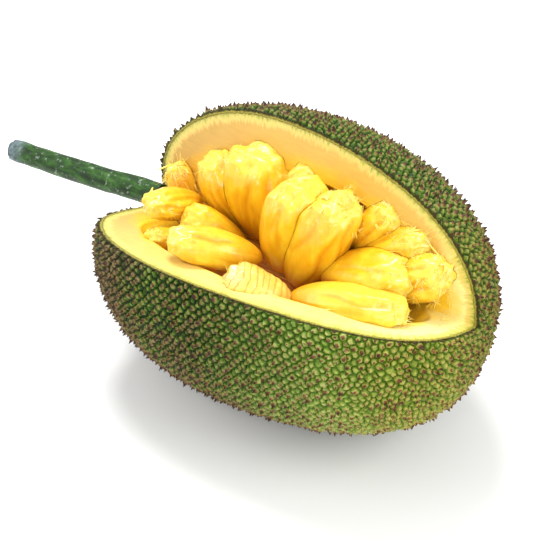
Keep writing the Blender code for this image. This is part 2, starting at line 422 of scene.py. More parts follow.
def make_core():
    """A ridge of fibres that run along it, thicker than a thumb in its middle."""
    bm = bmesh.new()
    add_tube(bm, closer_steps(CORE_PATH, CORE_STEP_MM), CORE_SIDES)

    def with_fibres(vert):
        swell = 0.0011 * grain(vert.co, 25, 260) + 0.0010 * noise.noise(vert.co * 45)
        return vert.co + vert.normal * swell

    reshape(bm, with_fibres)
    return object_from(bm, "core_fibres")


core = make_core()
core_room = grown(core, GAP)
cut(core, stem_room)
print("core:", len(core.data.polygons), "faces")

# %% [markdown]
# ## The spiny rind
# Each spike is the tip of one small fruit of the many that grew together, five or six sided and
# blunt, and neighbours meet in a narrow valley. Scattering copies of a cone would leave smooth
# skin between them. Instead each point of the net becomes a spike: every triangle gets a corner
# in its middle, the triangle's own edges give way to edges between those corners, and a ring
# around each point shapes its shoulder.

# %% From a net to spikes
SPIKES = 8600
SPIKE_WANDER = 0.24
SPIKE_HEIGHT = 0.0046
HEIGHT_RANGE = (0.60, 1.30)
SHOULDER = 0.50
SHOULDER_RANGE = (0.34, 0.62)
CALM_SHOULDER = 0.18
CALM_LOWER = 0.25
TIP_LEAN = 0.0010
SKIN_SEED = 7


def calm(place):
    """1 where the spikes are low domes, near the blossom end, and 0 where they are sharp."""
    return share_of(place.x, 0.02, 0.12) * share_of(place.z, 0.05, -0.08)


def spiny_skin():
    """The whole skin: spikes on every point of the net, before any cut."""
    rng = np.random.default_rng(SKIN_SEED)
    bm = hull_net(SPIKES, SPIKE_WANDER, rng)
    share = bm.verts.layers.float.new("share")
    height = bm.verts.layers.float.new("height")
    tone = bm.verts.layers.float.new("tone")
    for tip in bm.verts:
        tip[share] = 1
        tip[height] = rng.uniform(*HEIGHT_RANGE) * SPIKE_HEIGHT
        tip[tone] = rng.uniform(0, 1)
    ridges = list(bm.edges)
    corners = bmesh.ops.poke(bm, faces=bm.faces)["verts"]
    for corner in corners:
        corner[share] = 0
        corner[height] = 0
        corner[tone] = 0.5
    bmesh.ops.dissolve_edges(bm, edges=ridges, use_verts=False)
    bmesh.ops.connect_verts(bm, verts=corners)
    spokes = [edge for edge in bm.edges if sum(vert[share] for vert in edge.verts) == 1]
    split = bmesh.ops.bisect_edges(bm, edges=spokes, cuts=1)["geom_split"]
    ring = [part for part in split if isinstance(part, bmesh.types.BMVert)]
    for vert in ring:
        ends = [edge.other_vert(vert) for edge in vert.link_edges]
        tip, valley = sorted(ends, key=lambda end: -end[share])
        vert.co = valley.co.lerp(tip.co, SHOULDER)
        vert[share] = SHOULDER
        vert[height] = tip[height]
        vert[tone] = tip[tone]
    bmesh.ops.connect_verts(bm, verts=ring)
    lay_on_body(bm)

    def raised(vert):
        low = calm(vert.co)
        rise = vert[share]
        lean = Vector((0, 0, 0))
        if vert[share] == SHOULDER:
            rise = rng.uniform(*SHOULDER_RANGE) + CALM_SHOULDER * low
        if vert[share] == 1:
            lean = Vector(rng.normal(0, TIP_LEAN, 3))
        return vert.co + vert.normal * rise * vert[height] * (1 - CALM_LOWER * low) + lean

    reshape(bm, raised)
    flatten_underneath(bm, 0)
    bmesh.ops.triangulate(bm, faces=bm.faces)
    return object_from(bm, "rind_skin")


rind = spiny_skin()
tones = [item.value for item in rind.data.attributes["tone"].data]
spike_tone = KDTree(len(tones))
for vert in rind.data.vertices:
    spike_tone.insert(vert.co, vert.index)
spike_tone.balance()
print("whole skin:", len(rind.data.polygons), "triangles")

# %% [markdown]
# The rind is under three millimetres of tough skin below the valleys. It is what is left of the
# spiny shape when a smooth body, a little smaller, is taken out of it. The wedge then shows that
# thickness all along its edge, with the spikes cut through wherever the knife met them.

# %% Hollow out the rind and cut the wedge from it
SKIN_THICKNESS = 0.0028
INNER_POINTS = 2500


def smooth_net():
    bm = hull_net(INNER_POINTS, 0, np.random.default_rng(SKIN_SEED))
    lay_on_body(bm)
    return bm


def smooth_body(name, inset):
    """The fruit without its spikes, smaller all round by the inset."""
    bm = smooth_net()
    move_along_normals(bm, -inset)
    flatten_underneath(bm, inset)
    return object_from(bm, name)


def skin_lookup():
    """Finds the place on the smooth skin that is nearest to any point."""
    bm = smooth_net()
    found = BVHTree.FromBMesh(bm)
    bm.free()
    return found


SKIN = skin_lookup()
inside = smooth_body("inside", SKIN_THICKNESS)
for cutter in (inside, wedge, stem_room):
    print("rind cut by", cutter.name, cut(rind, cutter))
bpy.data.objects.remove(inside)
keep_largest_body(rind)
print("rind:", len(rind.data.polygons), "triangles")

# %% [markdown]
# ## The flesh
# Under the skin lies firm, pale orange flesh, and the bulbs sit in a long hollow in it. A ball
# stretched to the hollow's length would cut it cleanly, but flesh tears a little as bulbs are
# pulled away. So the ball is waved and ribbed first, and made shallower towards both ends.

# %% The hollow
TROUGH_CENTRE = Vector((0.010, -0.029, 0.033))
TROUGH_HALF = Vector((0.155, 0.058, 0.066))
BLOSSOM_TUCK = 0.93
STEM_TUCK = 0.92
TROUGH_WAVE = 0.0016
SHALLOW_FROM = 0.055
SHALLOW_LENGTH = 0.10
SHALLOW_SHARE = 0.75
HAIRLINE = 0.00005


def make_trough():
    """The cutter for the hollow that the bulbs sit in."""
    bm = bmesh.new()
    bmesh.ops.create_icosphere(bm, subdivisions=6, radius=1.0)
    bmesh.ops.scale(bm, vec=TROUGH_HALF, verts=bm.verts)
    for vert in bm.verts:
        vert.co.x *= BLOSSOM_TUCK if vert.co.x > 0 else STEM_TUCK
    bmesh.ops.translate(bm, vec=TROUGH_CENTRE, verts=bm.verts)
    for vert in bm.verts:
        endward = share_of(abs(vert.co.x), SHALLOW_FROM, SHALLOW_LENGTH)
        below = min(0, vert.co.z - TROUGH_CENTRE.z)
        vert.co.z -= below * SHALLOW_SHARE * endward

    def waved(vert):
        wave = noise.noise(vert.co * 30) + 0.4 * grain(vert.co, 150, 35)
        return vert.co + vert.normal * wave * TROUGH_WAVE

    reshape(bm, waved)
    return object_from(bm, "trough")


trough = make_trough()
flesh = smooth_body("flesh_cut", SKIN_THICKNESS + HAIRLINE)
for cutter in (wedge, trough, stem_room, core_room):
    print("flesh cut by", cutter.name, cut(flesh, cutter))
print("flesh:", len(flesh.data.polygons), "faces")

# %% [markdown]
# ## The bulbs
# A bulb is the sweet, firm flesh around one seed: plump at its crown, tapered to its root on
# the core, with soft folds that run along it and meet in a puckered crown. One could be sculpted
# by hand. A ball pushed into shape by a few rules makes all of them, each different in its
# numbers, and the rules can be read.

# %% Each bulb's measures
# Name, crown and root in mm from the body's centre, width in mm, taper, folds and their depth
BULBS = (
    ("bulb_01", (68, -21, 98), (25, -23, 3), 53, 0.15, 3, 0.14),
    ("bulb_02", (32, -22, 97), (6, -12, 2), 58, 0.15, 3, 0.14),
    ("bulb_03", (-33, 6, 92), (-34, 12, 0), 60, 0.30, 6, 0.14),
    ("bulb_04", (-49, -90, 52), (4, -39, 27), 36, 0.15, 4, 0.12),
    ("bulb_05", (-74, -40, 40), (-28, -15, -1), 39, 0.15, 4, 0.12),
    ("bulb_06", (157, -18, 66), (109, -10, 32), 44, 0.10, 3, 0.12),
    ("bulb_07", (136, -31, 58), (50, -17, 20), 52, 0.05, 4, 0.12),
    ("bulb_08", (146, -54, 46), (49, -63, 24), 38, 0.10, 4, 0.12),
    ("bulb_09", (133, -2, 76), (74, 0, 38), 40, 0.10, 3, 0.12),
    ("bulb_10", (99, 4, 87), (60, 6, 34), 38, 0.20, 3, 0.12),
    ("bulb_11", (13, 12, 90), (-6, 20, 16), 37, 0.20, 3, 0.12),
    ("bulb_12", (-78, 1, 72), (-55, 18, -4), 45, 0.25, 4, 0.14),
    ("bulb_13", (-96, -60, 49), (-92, 2, 22), 32, 0.10, 4, 0.12),
    ("bulb_14", (-88, -72, 29), (-73, -34, 10), 22, 0.10, 3, 0.10),
    ("rag_01", (10, -93, 46), (54, -67, 20), 34, 0.10, 6, 0.20),
    ("rag_02", (-124, 9, 45), (-106, 4, 12), 26, 0.10, 6, 0.20),
)
BULB_SIDES = 100
BULB_RINGS = 60
BULB_DEPTH_SHARE = 0.86
FOLD_SHARPNESS = 1.6
FOLD_SHARE = 0.45
BANDED_RAG = "rag_01"
RAG_BANDS = 13.0
CROWN_LUMPS = 0.13
BLUNTNESS = 0.24
LEAST_GIRTH = 0.05
print(len(BULBS), "bulbs and rags")


# %% [markdown]
# A real bulb's creases aren't evenly spaced, so each bulb lists its own. An angle is counted
# around the bulb from the side that looks out of the cut: 0 is the middle of what is seen, and
# positive turns towards the right when the crown is held up.

# %% Creases that are seen from the open side
OPEN_SIDE = Vector((0.48, -0.65, 0.59)).normalized()
# For each bulb: the angle in degrees, depth, lowest and highest share of its length (-1 to 1)
CREASES = {
    "bulb_01": ((-38, 0.07, -0.2, 1.0), (24, 0.09, -0.9, 0.9), (58, 0.06, -0.4, 1.0)),
    "bulb_02": (
        (-46, 0.05, 0.1, 1.0),
        (-24, 0.06, -0.2, 1.0),
        (-2, 0.05, 0.2, 1.0),
        (20, 0.05, 0.0, 1.0),
    ),
    "bulb_03": (
        (-52, 0.06, -1.0, 0.6),
        (-30, 0.08, -1.0, 0.8),
        (-8, 0.06, -1.0, 0.4),
        (14, 0.09, -1.0, 0.9),
        (38, 0.06, -1.0, 0.5),
    ),
    "bulb_04": ((26, 0.10, -0.4, 1.0), (-30, 0.05, -0.9, 0.2)),
    "bulb_05": ((-14, 0.09, -0.7, 0.7), (30, 0.05, -1.0, 0.4)),
    "bulb_06": ((-34, 0.08, -0.6, 1.0), (4, 0.08, -0.2, 1.0), (36, 0.08, -0.8, 1.0)),
    "bulb_07": ((28, 0.08, -1.0, 0.7), (-22, 0.04, -0.2, 1.0)),
    "bulb_08": ((-20, 0.07, -0.4, 1.0), (18, 0.04, -1.0, 0.5)),
    "bulb_09": ((-24, 0.07, -0.6, 1.0), (16, 0.07, -0.8, 0.9)),
    "bulb_10": ((-10, 0.07, -0.8, 1.0), (28, 0.06, -0.4, 1.0)),
    "bulb_11": ((-26, 0.07, -0.8, 1.0), (18, 0.06, -0.6, 0.9)),
    "bulb_12": ((-34, 0.07, -1.0, 0.7), (-10, 0.06, -1.0, 0.9), (16, 0.08, -1.0, 0.6)),
    "bulb_13": (
        (-36, 0.04, -1.0, 1.0),
        (-14, 0.05, -1.0, 1.0),
        (8, 0.05, -1.0, 1.0),
        (30, 0.04, -1.0, 0.9),
    ),
    "bulb_14": ((-12, 0.06, -0.9, 1.0), (22, 0.05, -0.7, 0.9)),
    "rag_02": ((-30, 0.05, -1.0, 1.0), (2, 0.06, -1.0, 1.0), (30, 0.05, -1.0, 1.0)),
}
CREASE_WIDTH = math.radians(17)
CREASE_WANDER = math.radians(26)
CREASE_FADE = 0.25
CREASE_SHARPNESS = 1.7
FULL_DIP = 0.08


def crease_at(name, around, along, number):
    """The depth of the deepest crease at this place on a bulb."""
    deepest = 0
    for order, (angle, depth, lowest, highest) in enumerate(CREASES.get(name, ())):
        sway = CREASE_WANDER * noise.noise(Vector((along * 1.1, number * 3.7, order * 1.9)))
        off = around - math.radians(angle) - sway
        off = abs(math.atan2(math.sin(off), math.cos(off)))
        inside = share_of(min(along - lowest, highest - along), 0, CREASE_FADE)
        strength = inside * max(0, 1 - off / CREASE_WIDTH) ** CREASE_SHARPNESS
        deepest = max(deepest, depth * strength)
    return deepest


# %% The rules that shape a bulb
def fold_at(around, folds):
    """0 on the ridge between two of the bulb's own folds, and 1 in the crease."""
    return (1 - abs(math.cos(around * folds / 2))) ** FOLD_SHARPNESS


def bulb_skin(unit, crease, number):
    """How far out the bulb's skin is in this direction, as a share of its plain width."""
    around = math.atan2(unit.y, unit.x)
    ring = Vector((math.cos(around), math.sin(around), 0))
    pleat = noise.noise(ring * 4.5 + Vector((number, 0, unit.z * 0.9)))
    fine = noise.noise(ring * 10 + Vector((number, 0, unit.z * 1.6)))
    lump = noise.noise(unit * 1.3 + Vector((0, number * 2.1, 0)))
    crown = share_of(unit.z, 0.35, 0.65)
    pucker = crown * noise.noise(ring * 2.2 + Vector((0, number, unit.z * 2)))
    return 1 - crease + 0.024 * pleat + 0.008 * fine + 0.08 * lump + 0.18 * pucker


def rag_skin(unit, number):
    """The skin of a rag, the limp, banded pulp of a bulb that never filled."""
    bands = abs(math.sin(unit.z * RAG_BANDS + 1.2 * noise.noise(unit * 2))) ** 0.5
    lump = noise.noise(unit * 1.5 + Vector((0, number * 2.1, 0)))
    return 0.95 + 0.06 * bands + 0.09 * lump


def bulb(name, crown, root, width, taper, folds, fold_depth, number):
    """One whole bulb. Each vertex keeps how creased it is and how far along the bulb it lies."""
    crown = Vector(crown) * MM
    root = Vector(root) * MM
    half = (crown - root).length / 2
    turn = (crown - root).to_track_quat("Z", "Y").to_matrix()
    seen = turn.transposed() @ OPEN_SIDE
    middle = math.atan2(seen.y, seen.x)
    bm = bmesh.new()
    bmesh.ops.create_uvsphere(bm, u_segments=BULB_SIDES, v_segments=BULB_RINGS, radius=1.0)
    dip = bm.verts.layers.float.new("dip")
    along = bm.verts.layers.float.new("along")
    for vert in bm.verts:
        unit = vert.co.copy()
        around = math.atan2(unit.y, unit.x)
        crease = crease_at(name, around - middle, unit.z, number)
        vert[dip] = crease / FULL_DIP
        vert[along] = unit.z
        if name == BANDED_RAG:
            skin = rag_skin(unit, number)
        else:
            crease += fold_depth * FOLD_SHARE * fold_at(around, folds)
            skin = bulb_skin(unit, crease, number)
        girth = max(LEAST_GIRTH, math.hypot(unit.x, unit.y))
        blunt = girth**-BLUNTNESS if unit.z > 0 else 1
        plump = (1 + taper * unit.z) * skin * blunt * width * MM / 2
        lumps = CROWN_LUMPS * max(0, unit.z) * noise.noise(unit * 3.1 + Vector((number, 0, 0)))
        local = Vector((unit.x * plump, unit.y * plump * BULB_DEPTH_SHARE, unit.z * half))
        vert.co = (crown + root) / 2 + turn @ (local * (1 + lumps))
    return object_from(bm, name + "_flesh")


# %% Pack the bulbs against each other
bulbs = {}
rooms = []
for number, (name, *measures) in enumerate(BULBS):
    made = bulb(name, *measures, number)
    uncut = grown(made, GAP)
    for room in (stem_room, core_room, *rooms):
        if boxes_meet(made, room):
            cut(made, room)
    cut(flesh, uncut)
    keep_largest_body(made)
    bulbs[name] = made
    rooms.append(uncut)
keep_largest_body(flesh)
keep_largest_body(core)
print("bulbs:", sum(len(made.data.polygons) for made in bulbs.values()), "triangles in all")
print("flesh:", len(flesh.data.polygons), "triangles")

# %% [markdown]
# ## Torn fibres
# Between the bulbs run pale ribbons, the unripe flowers, and pulling the fruit open tears them
# into threads that stand up around the crowns. Hair would be gone from an exported model, so
# each thread is a small closed tube of its own, tapered and bent at random from a fixed seed.

# %% Threads
THREAD_SIDES = 4
THREAD_STEPS = 5
THREAD_SEED = 11
THREAD_BEND = 0.10
THREAD_WANDER = 0.09
THREAD_TAPER = 0.75


def along_surface(normal, rng, lift):
    """A random heading that lies mostly along the surface, lifted off it by this share."""
    loose = Vector(rng.normal(0, 1, 3))
    flat = (loose - normal * loose.dot(normal)).normalized()
    return (flat + normal * lift).normalized()


def add_thread(bm, start, heading, length, radius, rng):
    """One tapering thread that wanders off its heading as it goes."""
    place = Vector(start)
    bend = Vector(rng.normal(0, THREAD_BEND, 3))
    path = []
    for step in range(THREAD_STEPS + 1):
        share = step / THREAD_STEPS
        path.append((*place, radius * (1 - THREAD_TAPER * share)))
        place = place + heading * length / THREAD_STEPS
        heading = (heading + bend + Vector(rng.normal(0, THREAD_WANDER, 3))).normalized()
    add_tube(bm, path, THREAD_SIDES)


# %% Ribbons
RIBBON_THICKNESS = 0.0006
RIBBON_LEAST_HALF = 0.0003
RIBBON_CURL = (-0.9, 0.6)
RIBBON_TWIST = 0.5


def add_ribbon(bm, start, heading, normal, length, width, rng):
    """One torn ribbon: a narrow sheet that curls away from the bulb, with ragged sides."""
    side = heading.cross(normal).normalized()
    curl = rng.uniform(*RIBBON_CURL)
    twist = rng.uniform(-RIBBON_TWIST, RIBBON_TWIST)
    sheet = bmesh.new()
    bmesh.ops.create_grid(sheet, x_segments=2, y_segments=6, size=1.0)
    for vert in sheet.verts:
        across, share = vert.co.x, (vert.co.y + 1) / 2
        half = width / 2 * (1 - share) ** 0.5 * rng.uniform(0.75, 1.2) + RIBBON_LEAST_HALF
        turned = side * math.cos(twist * share) + normal * math.sin(twist * share)
        rise = normal * length * 0.5 * curl * share**2
        cup = normal * width * 0.25 * across**2
        vert.co = start + heading * length * share + turned * across * half + rise + cup
    bmesh.ops.recalc_face_normals(sheet, faces=sheet.faces)
    bmesh.ops.solidify(sheet, geom=sheet.faces[:], thickness=RIBBON_THICKNESS)
    bmesh.ops.recalc_face_normals(sheet, faces=sheet.faces)
    join(bm, sheet)


# %% Where the fibres stand
def hollow_share(place):
    """0 at the hollow's centre, 1 on its wall and more beyond it."""
    tuck = BLOSSOM_TUCK if place.x > TROUGH_CENTRE.x else STEM_TUCK
    away = place - TROUGH_CENTRE
    shares = (away.x / tuck / TROUGH_HALF.x, away.y / TROUGH_HALF.y, away.z / TROUGH_HALF.z)
    return Vector(shares).length


# For each bulb: tufts, ribbons, the lowest fibre (0 its middle, 1 its crown), fibre length, and
# how far its colour is from golden, 0, to lemon, 1
DETAILS = {
    "bulb_01": (58, 14, 0.62, 0.008, 0.3),
    "bulb_02": (22, 5, 0.74, 0.006, 0.15),
    "bulb_03": (9, 3, 0.78, 0.006, 0.05),
    "bulb_04": (5, 2, 0.72, 0.005, 0.7),
    "bulb_05": (4, 1, 0.78, 0.005, 0.3),
    "bulb_06": (54, 14, 0.30, 0.009, 0.8),
    "bulb_07": (16, 4, 0.70, 0.007, 0.3),
    "bulb_08": (10, 4, 0.70, 0.006, 0.9),
    "bulb_09": (52, 14, 0.35, 0.009, 0.5),
    "bulb_10": (44, 12, 0.40, 0.009, 0.5),
    "bulb_11": (9, 3, 0.55, 0.006, 0.4),
    "bulb_12": (12, 4, 0.65, 0.006, 0.3),
    "bulb_13": (12, 5, 0.40, 0.008, 0.5),
    "bulb_14": (7, 3, 0.20, 0.006, 0.7),
    "rag_01": (10, 3, 0.25, 0.006, 0.3),
    "rag_02": (26, 14, -0.40, 0.011, 0.8),
}
CROWN_FACING = 0.1
EDGE_FACING = 0.2
ROOT_DEPTH = 0.0004
RIBBON_ROOT_DEPTH = 0.0003
RIBBON_WIDTHS = (0.0008, 0.0022)
TUFT_SPREAD = 0.0006
TUFT_FAN = 0.35
TUFT_THREADS = (2, 6)
TUFT_RADII = (0.00014, 0.00032)
EDGE_BAND = (0.99, 1.10)
EDGE_FROM = 0.07
EDGE_STRANDS = 140
EDGE_STRAND_LENGTH = 0.010
EDGE_STRAND_RADII = (0.0003, 0.0007)


def crown_spots(obj, lowest):
    """The vertices near the crown that face out of the cut."""
    shares = obj.data.attributes["along"].data
    return [
        vert
        for vert, share in zip(obj.data.vertices, shares)
        if share.value > lowest and vert.normal.dot(OPEN_SIDE) > CROWN_FACING
    ]


def edge_spots():
    """The vertices of the cut flesh just outside the hollow's edge, towards the blossom end."""
    nearest, furthest = EDGE_BAND
    return [
        vert
        for vert in flesh.data.vertices
        if vert.co.x > EDGE_FROM
        and vert.normal.dot(OPEN_SIDE) > EDGE_FACING
        and nearest < hollow_share(vert.co) < furthest
    ]


def picked(spots, count, rng):
    """This many of the spots, drawn at random. A spot may be drawn twice."""
    return [spots[int(pick)] for pick in rng.integers(0, len(spots), count)]


def add_tuft(bm, vert, length, rng):
    """Threads that were one ribbon: they start together and fan out."""
    heading = along_surface(vert.normal, rng, rng.uniform(0.1, 0.9))
    for _ in range(int(rng.integers(*TUFT_THREADS))):
        start = vert.co - vert.normal * ROOT_DEPTH + Vector(rng.normal(0, TUFT_SPREAD, 3))
        fanned = (heading + Vector(rng.normal(0, TUFT_FAN, 3))).normalized()
        size = length * rng.uniform(0.3, 1.3)
        add_thread(bm, start, fanned, size, rng.uniform(*TUFT_RADII), rng)


def fibres_on(name, tuft_count, ribbon_count, lowest, length, rng):
    """The tufts and the ribbons on one bulb."""
    bm = bmesh.new()
    spots = crown_spots(bulbs[name], lowest)
    for vert in picked(spots, tuft_count, rng):
        add_tuft(bm, vert, length, rng)
    for vert in picked(spots, ribbon_count, rng):
        heading = along_surface(vert.normal, rng, rng.uniform(-0.1, 0.2))
        start = vert.co - vert.normal * RIBBON_ROOT_DEPTH
        size = length * rng.uniform(0.5, 1.1)
        add_ribbon(bm, start, heading, vert.normal, size, rng.uniform(*RIBBON_WIDTHS), rng)
    return bm


def strands_beside_hollow(rng):
    """Strands that lie along the hollow's edge, where bulbs were pulled from the flesh."""
    bm = bmesh.new()
    for vert in picked(edge_spots(), EDGE_STRANDS, rng):
        outward = (vert.co - TROUGH_CENTRE).normalized()
        lengthwise = vert.normal.cross(outward).normalized() * rng.choice((-1, 1))
        heading = (lengthwise + vert.normal * 0.10 + Vector(rng.normal(0, 0.12, 3))).normalized()
        size = EDGE_STRAND_LENGTH * rng.uniform(0.5, 1.5)
        start = vert.co - vert.normal * ROOT_DEPTH
        add_thread(bm, start, heading, size, rng.uniform(*EDGE_STRAND_RADII), rng)
    return bm


def fibre_piece():
    """All the fibres. Each batch is made on its own, which is quicker than one growing mesh."""
    rng = np.random.default_rng(THREAD_SEED)
    whole = bmesh.new()
    batches = [fibres_on(name, *measures, rng) for name, (*measures, _) in DETAILS.items()]
    for batch in batches + [strands_beside_hollow(rng)]:
        join(whole, batch)
    return object_from(whole, "torn_fibres")


threads = fibre_piece()
print("fibres:", len(threads.data.polygons), "faces")

# %% [markdown]
# ## Numbers that the finishes read
# Colour in a fruit follows its depth: brown at the tips of the spikes, green in the skin, pale
# below it. Painting that by hand would take hours. Each vertex instead stores its own distance
# from the smooth skin, the place on the skin above it, how far it lies below the knife's cuts
# and how near the hollow, and the finishes read them.

# %% Store depth, skin place, cut depth and hollow on the vertices
def store(obj, name, values, kind="FLOAT"):
    """Stores one value for each vertex, in place of what a cut left under that name."""
    field = "value" if kind == "FLOAT" else "vector"
    old = obj.data.attributes.get(name)
    if old:
        obj.data.attributes.remove(old)
    made = obj.data.attributes.new(name, kind, "POINT")
    made.data.foreach_set(field, np.array(values, dtype=np.float32).ravel())


def store_depth(obj):
    """Millimetres above the smooth skin, less than nothing in the flesh, and the place above."""
    depths, places = [], []
    for vert in obj.data.vertices:
        place, normal, _, distance = SKIN.find_nearest(vert.co)
        outside = (vert.co - place).dot(normal) > 0
        depths.append((distance if outside else -distance) / MM)
        places.append(place)
    store(obj, "depth", depths)
    store(obj, "skin_place", places, "FLOAT_VECTOR")


def store_sunk(obj):
    """Millimetres below the surfaces that the knife cut."""
    places = places_of(obj)
    upper = UPPER_DISTANCE - places @ np.array(UPPER_NORMAL)
    lower = LOWER_DISTANCE - places @ np.array(LOWER_NORMAL)
    store(obj, "sunk", np.maximum(upper, lower) / MM)


for piece in (rind, flesh):
    store_depth(piece)
    store_sunk(piece)
store(rind, "tone", [tones[spike_tone.find(vert.co)[1]] for vert in rind.data.vertices])
store(flesh, "hollow", [hollow_share(vert.co) for vert in flesh.data.vertices])
print("depth stored on", len(rind.data.vertices) + len(flesh.data.vertices), "vertices")

# %% Move every piece to where the fruit rests
for old in (wedge, trough, stem_room, core_room, *rooms):
    bpy.data.objects.remove(old)
pieces = [rind, flesh, core, stem, threads, *bulbs.values()]
for piece in pieces:
    piece.data.transform(Matrix.Translation(BODY_CENTRE))

# %% [markdown]
# ## Finishes
# Every finish is made of nodes, so it has no picture behind it and works at any size. Wiring
# them one by one takes a screenful for each colour, so the class below has a short word for
# each step that the recipes repeat: a noise, a range, a row of colours, a blend.

# %% Node helpers
def colour(code):
    """A Blender colour from a web colour such as #F9B61A."""
    shares = [int(code[at : at + 2], 16) / 255 for at in (1, 3, 5)]
    return (*[s / 12.92 if s <= 0.04045 else ((s + 0.055) / 1.055) ** 2.4 for s in shares], 1)


class Finish:
    """A material under way: constants go to the shader, nodes are added one by one."""

    def __init__(self, name, **constants):
        self.material = bpy.data.materials.new(name)
        self.material.use_nodes = True
        self.tree = self.material.node_tree
        self.shader = self.tree.nodes["Principled BSDF"]
        for socket, value in constants.items():
            self.shader.inputs[socket.replace("_", " ")].default_value = value

    def add(self, kind, inputs, **settings):
        """A node with these settings. An input is a socket, a number or a web colour."""
        node = self.tree.nodes.new("ShaderNode" + kind)
        for name, value in settings.items():
            setattr(node, name, value)
        for name, value in inputs.items():
            self.plug(node.inputs[name], value)
        return node

    def plug(self, socket, value):
        if isinstance(value, bpy.types.NodeSocket):
            self.tree.links.new(value, socket)
        elif isinstance(value, str):
            socket.default_value = colour(value)
        else:
            socket.default_value = value

    def attribute(self, name, output="Fac"):
        return self.add("Attribute", {}, attribute_name=name).outputs[output]

    def place(self, output="Object"):
        return self.add("TexCoord", {}).outputs[output]

    def parts(self, vector):
        """The x, y and z of a vector."""
        return self.add("SeparateXYZ", {0: vector}).outputs[:]

    def noise(self, vector, scale, detail=3.0, roughness=0.55):
        """Noise with one scale, or with three scales that stretch it along an axis."""
        if isinstance(scale, tuple):
            vector = self.add("Mapping", {"Vector": vector, "Scale": scale}).outputs["Vector"]
            scale = 1.0
        inputs = {"Vector": vector, "Scale": scale, "Detail": detail, "Roughness": roughness}
        return self.add("TexNoise", inputs).outputs["Fac"]

    def spread(self, value, low, high, to_low=0.0, to_high=1.0):
        """The value's range from low to high stretched over another range, clamped."""
        inputs = {0: value, 1: low, 2: high, 3: to_low, 4: to_high}
        return self.add("MapRange", inputs, clamp=True).outputs[0]

    def maths(self, how, one, *others):
        """One sum or product after the other, from the left."""
        for other in others:
            one = self.add("Math", {0: one, 1: other}, operation=how).outputs[0]
        return one

    def plus(self, *values):
        return self.maths("ADD", *values)

    def times(self, *values):
        return self.maths("MULTIPLY", *values)

    def ramp(self, value, *stops):
        """A row of colours along a value from 0 to 1."""
        node = self.add("ValToRGB", {"Fac": value})
        row = node.color_ramp.elements
        while len(row) < len(stops):
            row.new(1.0)
        for element, (place, code) in zip(row, stops):
            element.position = place
            element.color = colour(code)
        return node.outputs["Color"]

    def blend(self, share, one, other, how="MIX"):
        inputs = {0: share, 6: one, 7: other}
        return self.add("Mix", inputs, data_type="RGBA", blend_type=how).outputs[2]

    def bump(self, height, strength, distance):
        inputs = {"Height": height, "Strength": strength, "Distance": distance}
        self.plug(self.shader.inputs["Normal"], self.add("Bump", inputs).outputs["Normal"])

    def base(self, value):
        self.plug(self.shader.inputs["Base Color"], value)
        return self.material


def dress(obj, finish):
    """Gives the object this one finish, in place of the empty slots that cuts leave behind."""
    obj.data.materials.clear()
    obj.data.materials.append(finish)


print("a mid grey:", tuple(round(share, 3) for share in colour("#808080")))

# %% [markdown]
# The rind is dark green in the valleys, painted darker there as painted shade, fresh green on the
# flanks and brown where the tips have rubbed and dried. Near the stem and underneath the brown has
# spread, and on the front towards the blossom end, where it is unworn, the skin is painted lighter, as
# painted light.

# %% The rind's finish
def skin_colours(made, level):
    """Fresh and worn skin, and skin painted lighter as painted light, each from the flesh below it up
    to the tips of the spikes.
    """
    # Each row is darkest just above the valley floor: the skin's dark green, painted darker as shade in
    # the valleys.
    fresh = made.ramp(
        level,
        (0.00, "#E2C468"), (0.14, "#C9BC5C"), (0.26, "#5C6A22"),
        (0.37, "#0C1504"), (0.49, "#213A06"), (0.61, "#4A6C14"),
        (0.70, "#8C9848"), (0.79, "#7C5434"), (0.93, "#42281C"),
    )
    worn = made.ramp(
        level,
        (0.00, "#DDBC62"), (0.14, "#B9AC58"), (0.26, "#4E5322"),
        (0.37, "#0F1106"), (0.50, "#292B0E"), (0.63, "#564C24"),
        (0.74, "#968256"), (0.83, "#6C5236"), (0.95, "#402E24"),
    )
    lit_skin = made.ramp(
        level,
        (0.00, "#E6CC70"), (0.14, "#C9C660"), (0.26, "#6E8A26"),
        (0.36, "#263E08"), (0.47, "#557818"), (0.60, "#8BA440"),
        (0.71, "#BCC070"), (0.81, "#865C38"), (0.95, "#4A2E1E"),
    )
    return fresh, worn, lit_skin


def wear(made, patches, x, z, tone):
    """How worn the skin is: in patches, more towards the stem, underneath and on some spikes."""
    stemward = made.spread(x, 0.10, -0.13, -0.10, 0.30)
    low = made.spread(z, 0.08, 0.0, 0.0, 0.22)
    own = made.spread(tone, 0.0, 1.0, -0.16, 0.16)
    return made.plus(patches, stemward, low, own)


